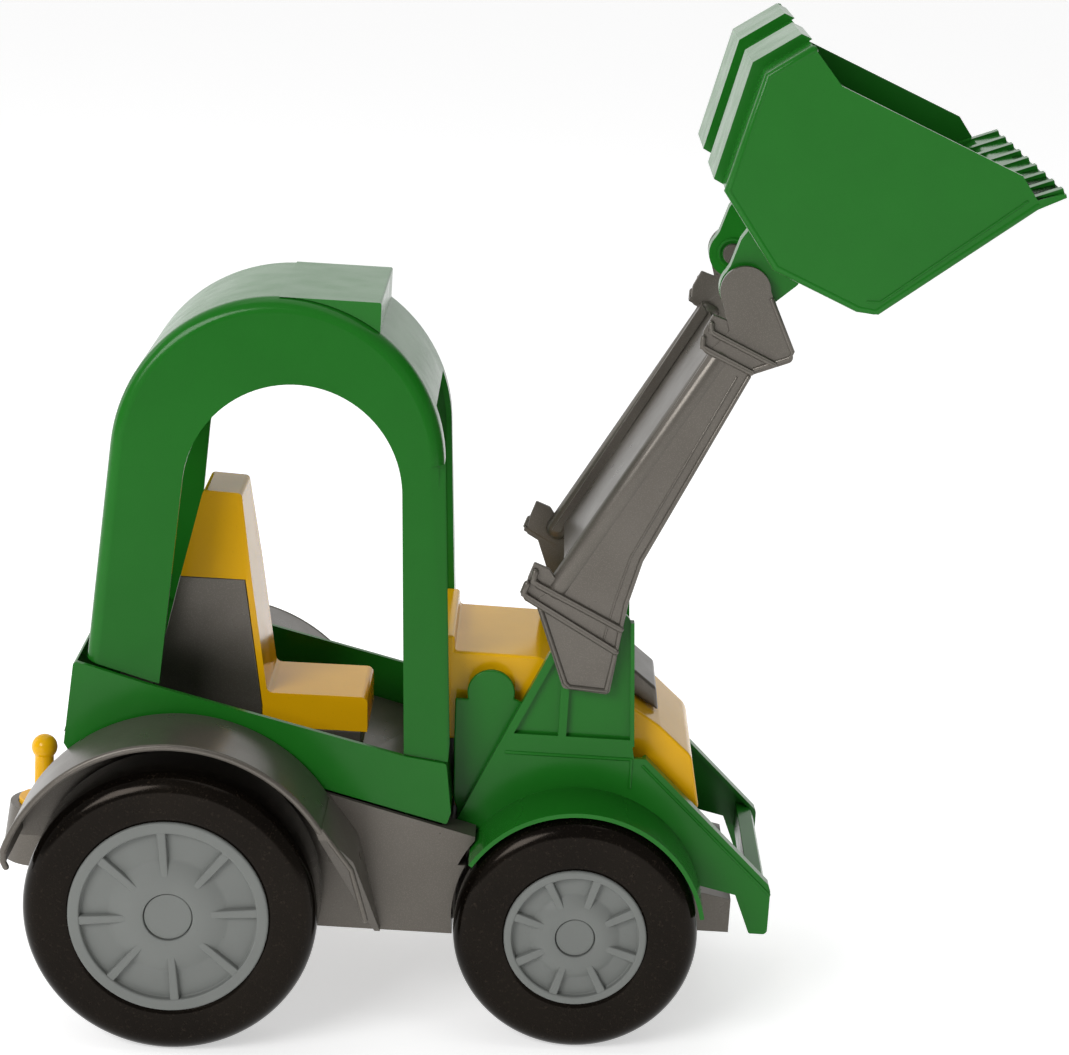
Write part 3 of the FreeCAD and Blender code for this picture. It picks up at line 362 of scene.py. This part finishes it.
def rib(bm, inner, ring, centre, side, angle):
    """One raised rib of the dished web, from radius inner on the dome to the ring outside."""
    along = Vector((math.cos(angle), 0, math.sin(angle)))
    across = Vector((-math.sin(angle), 0, math.cos(angle)))
    out = Vector((0, side, 0))
    loops = []
    ends = ((inner, RIB_HALF_IN, RIB_TOP - RIB_DROP), (ring + 0.6, RIB_HALF_OUT, RIB_TOP))
    for radius, half, height in ends:
        loop = []
        foot = half + 0.3
        for across_mm, out_mm in ((-foot, -DISH - 1), (foot, -DISH - 1), (half, height), (-half, height)):
            loop.append(bm.verts.new(centre + (along * radius + across * across_mm + out * out_mm) * MM))
        loops.append(loop)
    faces = [bm.faces.new(loops[0]), bm.faces.new(loops[1][::-1])]
    for i in range(4):
        j = (i + 1) % 4
        faces.append(bm.faces.new((loops[0][i], loops[1][i], loops[1][j], loops[0][j])))
    bmesh.ops.recalc_face_normals(bm, faces=faces)
    top_face = faces[4]
    bevel(bm, list(top_face.edges), 0.5, 3)


for end_name in ("rear", "front"):
    for side_word, side_sign in SIDES:
        wheel(end_name, side_word, side_sign)


# Vehicle, arm and bucket skins -------------------------------------------------------------------
# The cab arch. Each leg's outer edge is (distance ahead of the rear axle at height LEGS_FROM, lean per
# millimetre of height), and the top is an arc about ARCH_MIDDLE. Points within RIM_REACH of a leg's edge, or
# further than ARCH_INSIDE from ARCH_MIDDLE, are on the rim. The side is ARCH_HALF out at ARCH_FOOT and leans
# in by ARCH_LEAN at ARCH_TOP.
LEGS_FROM = 100
REAR_LEG = (-46.6, 0.0717)
FRONT_LEG = (109.9, -0.0665)
RIM_REACH = 1.1
ARCH_FOOT = 118
ARCH_TOP = 309.7
ARCH_HALF = 60
ARCH_LEAN = 15.4
ARCH_MIDDLE = (32, 236)
ARCH_INSIDE = 67.6
ARCH_ROUND_FROM = 241
ARCH_RIM = 6.0


def from_axle(co):
    """Millimetres ahead of the rear axle, out from the middle, and above the floor."""
    return (co.x - REAR.x) / MM, abs(co.y) / MM, co.z / MM


def on_arch_rim(co):
    """True on the outer edge of the arch's side face, along both legs and over the top."""
    x, y, z = from_axle(co)
    half = ARCH_HALF - (z - ARCH_FOOT) / (ARCH_TOP - ARCH_FOOT) * ARCH_LEAN
    if z > ARCH_ROUND_FROM:
        outside = math.hypot(x - ARCH_MIDDLE[0], z - ARCH_MIDDLE[1]) > ARCH_INSIDE
    else:
        rise = z - LEGS_FROM
        behind = x < REAR_LEG[0] + rise * REAR_LEG[1] + RIM_REACH
        outside = behind or x > FRONT_LEG[0] + rise * FRONT_LEG[1] - RIM_REACH
    return outside and y > half - 1.0


def at_arch_foot(co):
    """True where the leaning side of the arch starts, just above the foot of its front leg."""
    x, y, z = from_axle(co)
    return x > 107 and y > ARCH_HALF - 1 and abs(z - ARCH_FOOT) < 0.4


skin("chassis", "vehicle", 0.8)
skin("hitch_pin", "vehicle", 0.7)
for word, sign in SIDES:
    skin("rear_mudguard_" + word, "vehicle", 0.7)
    skin("loader_frame_" + word, "vehicle", 0.6)
skin("cab_body", "vehicle", 0.7)
skin("cab_arch", "vehicle", 0.7, soft=[(on_arch_rim, ARCH_RIM)], drop=at_arch_foot)
skin("seat_base", "vehicle", 0.7)
skin("seat", "vehicle", 2.2)
skin("hood", "vehicle", 2.0)
skin("air_intake", "vehicle", 1.4)
skin("hood_cradle", "vehicle", 0.6)
skin("front_crossbar", "vehicle", 0.6)
skin("loader_arm", "arm", 0.5)
skin("bucket", "bucket", 0.9)
for plain in ("rear_axle_rod", "front_axle_rod", "rear_axle_clips", "front_axle_clips", "chassis_screws"):
    frame["nodes"][plain].data.materials.clear()
    frame["nodes"][plain].data.materials.append(FINISH["steel"])


# Raised details that are moulded on the nodes ----------------------------------------------------
BEAD_STEPS = 10


def side_place(x, z, y):
    """A world place from millimetres ahead of the rear axle, above the floor and to the left."""
    return Vector((REAR.x + x * MM, y * MM, z * MM))


def bead(bm, places, radius, depth):
    """A rod with rounded ends along a polyline in a side view; depth is its half thickness along Y."""
    count = len(places)
    rings = []
    for index, place in enumerate(places):
        before = places[max(index - 1, 0)]
        after = places[min(index + 1, count - 1)]
        along = (after - before).normalized()
        across = along.cross(Vector((0, 1, 0))).normalized()
        level = across.cross(along).normalized()
        bends = [(0.0, 1.0)]
        if index == 0:
            bends = [(-0.85, 0.5), (-0.5, 0.86), (0.0, 1.0)]
        if index == count - 1:
            bends = [(0.0, 1.0), (0.5, 0.86), (0.85, 0.5)]
        for shift, share in bends:
            middle = place + along * (shift * min(radius, depth) * MM)
            ring = []
            for step in range(BEAD_STEPS):
                angle = 2 * math.pi * step / BEAD_STEPS
                offset = across * (radius * share * math.cos(angle))
                offset += level * (depth * share * math.sin(angle))
                ring.append(bm.verts.new(middle + offset * MM))
            rings.append(ring)
    for here, there in zip(rings, rings[1:]):
        for step in range(BEAD_STEPS):
            after = (step + 1) % BEAD_STEPS
            bm.faces.new((here[step], here[after], there[after], there[step]))
    bm.faces.new(rings[0][::-1])
    bm.faces.new(rings[-1])


def beads(name, slot_name, body, lines):
    """One piece made of beads; each line is (side-view points, y, radius, depth)."""
    bm = bmesh.new()
    for points, y, radius, depth in lines:
        bead(bm, [side_place(x, z, y) for x, z in points], radius, depth)
    finish_mesh(name, bm, slot_name, body, sharp=60, weighted=False)


def prism(bm, near_places, far_places):
    """A solid between two outlines that have the same number of corners."""
    near = [bm.verts.new(place) for place in near_places]
    far = [bm.verts.new(place) for place in far_places]
    bm.faces.new(near)
    bm.faces.new(far[::-1])
    for index in range(len(near)):
        after = (index + 1) % len(near)
        bm.faces.new((near[index], far[index], far[after], near[after]))


def slabs(name, slot_name, body, low, high, outlines):
    """Flat pieces between two Y values, each drawn in side view."""
    bm = bmesh.new()
    for points in outlines:
        prism(bm, [side_place(x, z, low) for x, z in points], [side_place(x, z, high) for x, z in points])
    bmesh.ops.recalc_face_normals(bm, faces=bm.faces)
    bevel(bm, sharp_edges(bm, None, 20), 0.5, 2)
    finish_mesh(name, bm, slot_name, body)


# The ring's profile, as (radius, distance from the middle of the loader).
LUG_RING = [(6.9, 38.5), (6.9, 37.9), (6.4, 37.5), (5.9, 37.5), (5.3, 37.9), (5.3, 38.5)]
# The split pin head: its two ends are measured from the middle, its slot runs at PIN_TILT degrees, and
# PIN_SPLIT degrees of the circle are left out on each side of the slot.
PIN_RADIUS = 4.3
PIN_ENDS = (35.7, 40)
PIN_TILT = 65
PIN_SPLIT = 6
PIN_STEPS = 14


def snap_pin(word, sign, x, z):
    """The end of the tilt pin inside a bucket lug: a dished ring on the lug, and a split grey pin head."""
    centre = side_place(x, z, 0)
    bm = bmesh.new()
    lathe(bm, LUG_RING, 48, centre, sign)
    finish_mesh("lug_ring_" + word, bm, "green_plastic", "bucket")
    along = Vector((math.cos(math.radians(PIN_TILT)), 0, math.sin(math.radians(PIN_TILT))))
    across = Vector((along.z, 0, -along.x))
    bm = bmesh.new()
    for half in (1, -1):
        rim = []
        for step in range(PIN_STEPS + 1):
            angle = math.radians(PIN_SPLIT + (180 - 2 * PIN_SPLIT) * step / PIN_STEPS)
            rim.append((along * math.cos(angle) + across * (half * math.sin(angle))) * PIN_RADIUS)
        inner_end, outer_end = (Vector((0, sign * end, 0)) for end in PIN_ENDS)
        prism(bm, [centre + (place + inner_end) * MM for place in rim],
              [centre + (place + outer_end) * MM for place in rim])
    bmesh.ops.recalc_face_normals(bm, faces=bm.faces)
    bevel(bm, sharp_edges(bm, None, 30), 0.35, 2)
    finish_mesh("snap_pin_" + word, bm, "grey_plastic", "arm")


# How far from the middle the outer faces of the arm, loader frames and bucket are, and the rims' middles.
ARM_HALF = 51.6
FRAME_HALF = 48.6
BUCKET_HALF = 93
BUCKET_RIM = 91.4
MUDGUARD_RIM = 103.2
SKIRT_RIM = 102.6
# The mudguard's rim is an arc about the rear axle, and the collars' rims stand out from the arm's face.
MUDGUARD_RADIUS = 71.5
COLLAR_OUT = 0.6
# Millimetres from the rear axle to the front axle and the tilt pivot, and the pivot's height.
AHEAD = (FRONT.x - REAR.x) / MM
TILT_X = (TILT.x - REAR.x) / MM
TILT_Z = TILT.z / MM
for word, sign in SIDES:
    outer = sign * ARM_HALF
    collar = outer + sign * COLLAR_OUT
    beads("arm_rims_" + word, "grey_plastic", "arm", [
        ([(149.4, 190), (209.2, 292.4)], sign * (ARM_HALF - 3.2), 5.2, 4.3),
        ([(172.6, 149.6), (175.6, 167.4), (178.2, 186.9), (183.2, 206), (221.2, 285.6)], outer, 1.0, 1.0),
        ([(169.6, 168.8), (173.6, 187.4), (178.8, 207), (216.4, 285)], outer, 0.5, 0.4),
        ([(142.6, 184.6), (155.4, 151.6), (157.4, 149.8), (172.6, 149)], outer, 1.1, 1.1),
        ([(137.2, 193.4), (135.9, 189.8), (137.4, 187.6), (175.4, 166.4)], collar, 1.5, 1.5),
        ([(140.2, 198.6), (139.6, 195), (141.8, 193), (176.8, 176.3)], collar, 1.5, 1.5),
        ([(201.8, 300.4), (201.6, 297.2), (203.6, 295.4), (222, 287.4)], collar, 1.3, 1.5),
        ([(204.6, 306.4), (205.0, 303.2), (206.8, 302), (231, 291.3)], collar, 1.3, 1.5),
        ([(228, 317.6), (238, 296.6), (237, 294.2), (223, 288.6)], outer, 1.0, 0.9),
    ])
    low, high = sorted((outer - sign * 0.4, outer - sign * 2.6))
    slabs("arm_ears_" + word, "grey_plastic", "arm", low, high, [
        [(137.4, 196), (136.2, 189.4), (150, 182), (153, 190), (146, 200), (139.6, 202.4)],
        [(201.6, 303), (201.4, 297), (207, 294.4), (213, 300), (211, 308), (205, 310)],
    ])
    beads("frame_ridges_" + word, "green_plastic", "vehicle", [
        ([(AHEAD - 33, 118.6), (AHEAD + 19, 118.6)], sign * FRAME_HALF, 0.8, 0.7),
        ([(AHEAD + 19.6, 118.6), (AHEAD + 19.6, 106)], sign * FRAME_HALF, 0.7, 0.6),
        ([(AHEAD + 24.6, 115.8), (AHEAD + 82, 61.6)], sign * FRAME_HALF, 0.7, 0.6),
    ])
    beads("mudguard_rim_" + word, "grey_plastic", "vehicle", [
        (arc((0, REAR.z / MM), MUDGUARD_RADIUS, 33.5, 161, 48) + [(-67.5, 78.4), (-66.4, 76.2)],
         sign * MUDGUARD_RIM, 1.4, 1.4),
        ([(60.6, 99.4), (73, 83.4), (79.6, 62)], sign * SKIRT_RIM, 1.2, 1.2),
    ])
    side_edge = [(15.2, 101), (-0.6, 90.2), (-12.6, 45.9), (8, 17.6), (40.9, 3.6), (47.8, 2.8), (105.6, 47.6)]
    floor_line = [(44, 6.4), (49, 6.6), (101.6, 49)]
    beads("bucket_rims_" + word, "green_plastic", "bucket", [
        ([(TILT_X + x, TILT_Z + z) for x, z in side_edge], sign * BUCKET_RIM, 1.9, 1.9),
        ([(TILT_X + x, TILT_Z + z) for x, z in floor_line], sign * BUCKET_HALF, 0.45, 0.4),
    ])
    snap_pin(word, sign, TILT_X, TILT_Z)


# Floor, light and camera -------------------------------------------------------------------------
FLOOR_REACH = 20.0
# The world's strength rises from the third number to the fourth as the cosine of the angle to GLOW_FROM
# rises from the first to the second.
GLOW_FROM = (-0.25, 0.94, 0.23)
GLOW_RANGE = (0.1, 1.0, 0.26, 1.04)
AIM = (0, 0, 0.2)
# Name, place, width and height in metres, and watts.
LIGHTS = (
    ("key", (-1.2, -1.7, 1.25), 1.1, 0.9, 28),
    ("left", (-2.0, 0.6, 0.7), 0.8, 1.4, 5),
    ("top", (0.1, 0.2, 2.0), 1.8, 1.4, 7),
)
# Azimuth, elevation and roll in degrees; the place is in metres, ahead of the rear axle, to the right of the
# middle and above the floor; the lens is in millimetres.
CAMERA_ANGLES = (-0.44, 15.07, 3.56)
CAMERA_AHEAD = 0.12988
CAMERA_OUT = 1.2064
CAMERA_HEIGHT = 0.52832
LENS = 98.44


def backdrop():
    """A wide plain floor that glows a little, so that it is as pale as a lit sweep of paper."""
    mesh = bpy.data.meshes.new("floor")
    corners = [(x * FLOOR_REACH, y * FLOOR_REACH, 0) for x, y in ((-1, -1), (1, -1), (1, 1), (-1, 1))]
    mesh.from_pydata(corners, [], [(0, 1, 2, 3)])
    shader = Shader("floor_paper")
    tone = shader.stretch(shader.noise(4, 2), 0.3, 0.7, 0, 1)
    paper = shader.mix(tone, (0.895, 0.895, 0.895), (0.905, 0.905, 0.905))
    shader.link(paper, shader.surface.inputs["Base Color"])
    shader.surface.inputs["Roughness"].default_value = 0.9
    shader.surface.inputs["Specular IOR Level"].default_value = 0.1
    shader.surface.inputs["Emission Color"].default_value = (1, 1, 1, 1)
    shader.surface.inputs["Emission Strength"].default_value = 0.52
    mesh.materials.append(shader.material)
    floor = bpy.data.objects.new("floor", mesh)
    bpy.context.scene.collection.objects.link(floor)


def area_light(name, place, width, height, watts):
    """A soft rectangular lamp that faces AIM."""
    data = bpy.data.lights.new(name, "AREA")
    data.shape = "RECTANGLE"
    data.size = width
    data.size_y = height
    data.energy = watts
    lamp = bpy.data.objects.new(name, data)
    lamp.location = place
    lamp.rotation_mode = "QUATERNION"
    lamp.rotation_quaternion = (Vector(AIM) - Vector(place)).to_track_quat("-Z", "Y")
    bpy.context.scene.collection.objects.link(lamp)


def studio():
    """A world that is bright on the loader's left and dim on its right, with three soft lamps."""
    world = bpy.data.worlds.new("studio")
    world.use_nodes = True
    tree = world.node_tree
    heading = tree.nodes.new("ShaderNodeTexCoord")
    toward = tree.nodes.new("ShaderNodeVectorMath")
    toward.operation = "DOT_PRODUCT"
    toward.inputs[1].default_value = GLOW_FROM
    glow = tree.nodes.new("ShaderNodeMapRange")
    for socket, number in zip(RANGE_SOCKETS, GLOW_RANGE):
        glow.inputs[socket].default_value = number
    tree.links.new(heading.outputs["Generated"], toward.inputs[0])
    tree.links.new(toward.outputs["Value"], glow.inputs["Value"])
    tree.links.new(glow.outputs["Result"], tree.nodes["Background"].inputs["Strength"])
    tree.nodes["Background"].inputs["Color"].default_value = (1, 1, 1, 1)
    bpy.context.scene.world = world
    for light in LIGHTS:
        area_light(*light)
    bpy.context.scene.view_settings.view_transform = "Standard"


def camera():
    """A long lens that looks 15 degrees down at the loader's right side and rolls a little about its view."""
    azimuth, elevation, roll = (math.radians(angle) for angle in CAMERA_ANGLES)
    back = Vector((math.sin(azimuth) * math.cos(elevation), -math.cos(azimuth) * math.cos(elevation),
                   math.sin(elevation)))
    right = Vector((math.cos(azimuth), math.sin(azimuth), 0))
    up = back.cross(right)
    across = right * math.cos(roll) + up * math.sin(roll)
    upward = up * math.cos(roll) - right * math.sin(roll)
    data = bpy.data.cameras.new("camera")
    data.sensor_width = 36
    data.lens = LENS
    data.clip_start = 0.05
    data.clip_end = 50
    made = bpy.data.objects.new("camera", data)
    turn = Matrix((across, upward, back)).transposed().to_4x4()
    place = Vector((REAR.x + CAMERA_AHEAD, -CAMERA_OUT, CAMERA_HEIGHT))
    made.matrix_world = Matrix.Translation(place) @ turn
    bpy.context.scene.collection.objects.link(made)
    bpy.context.scene.camera = made


backdrop()
studio()
camera()

bpy.context.view_layer.update()
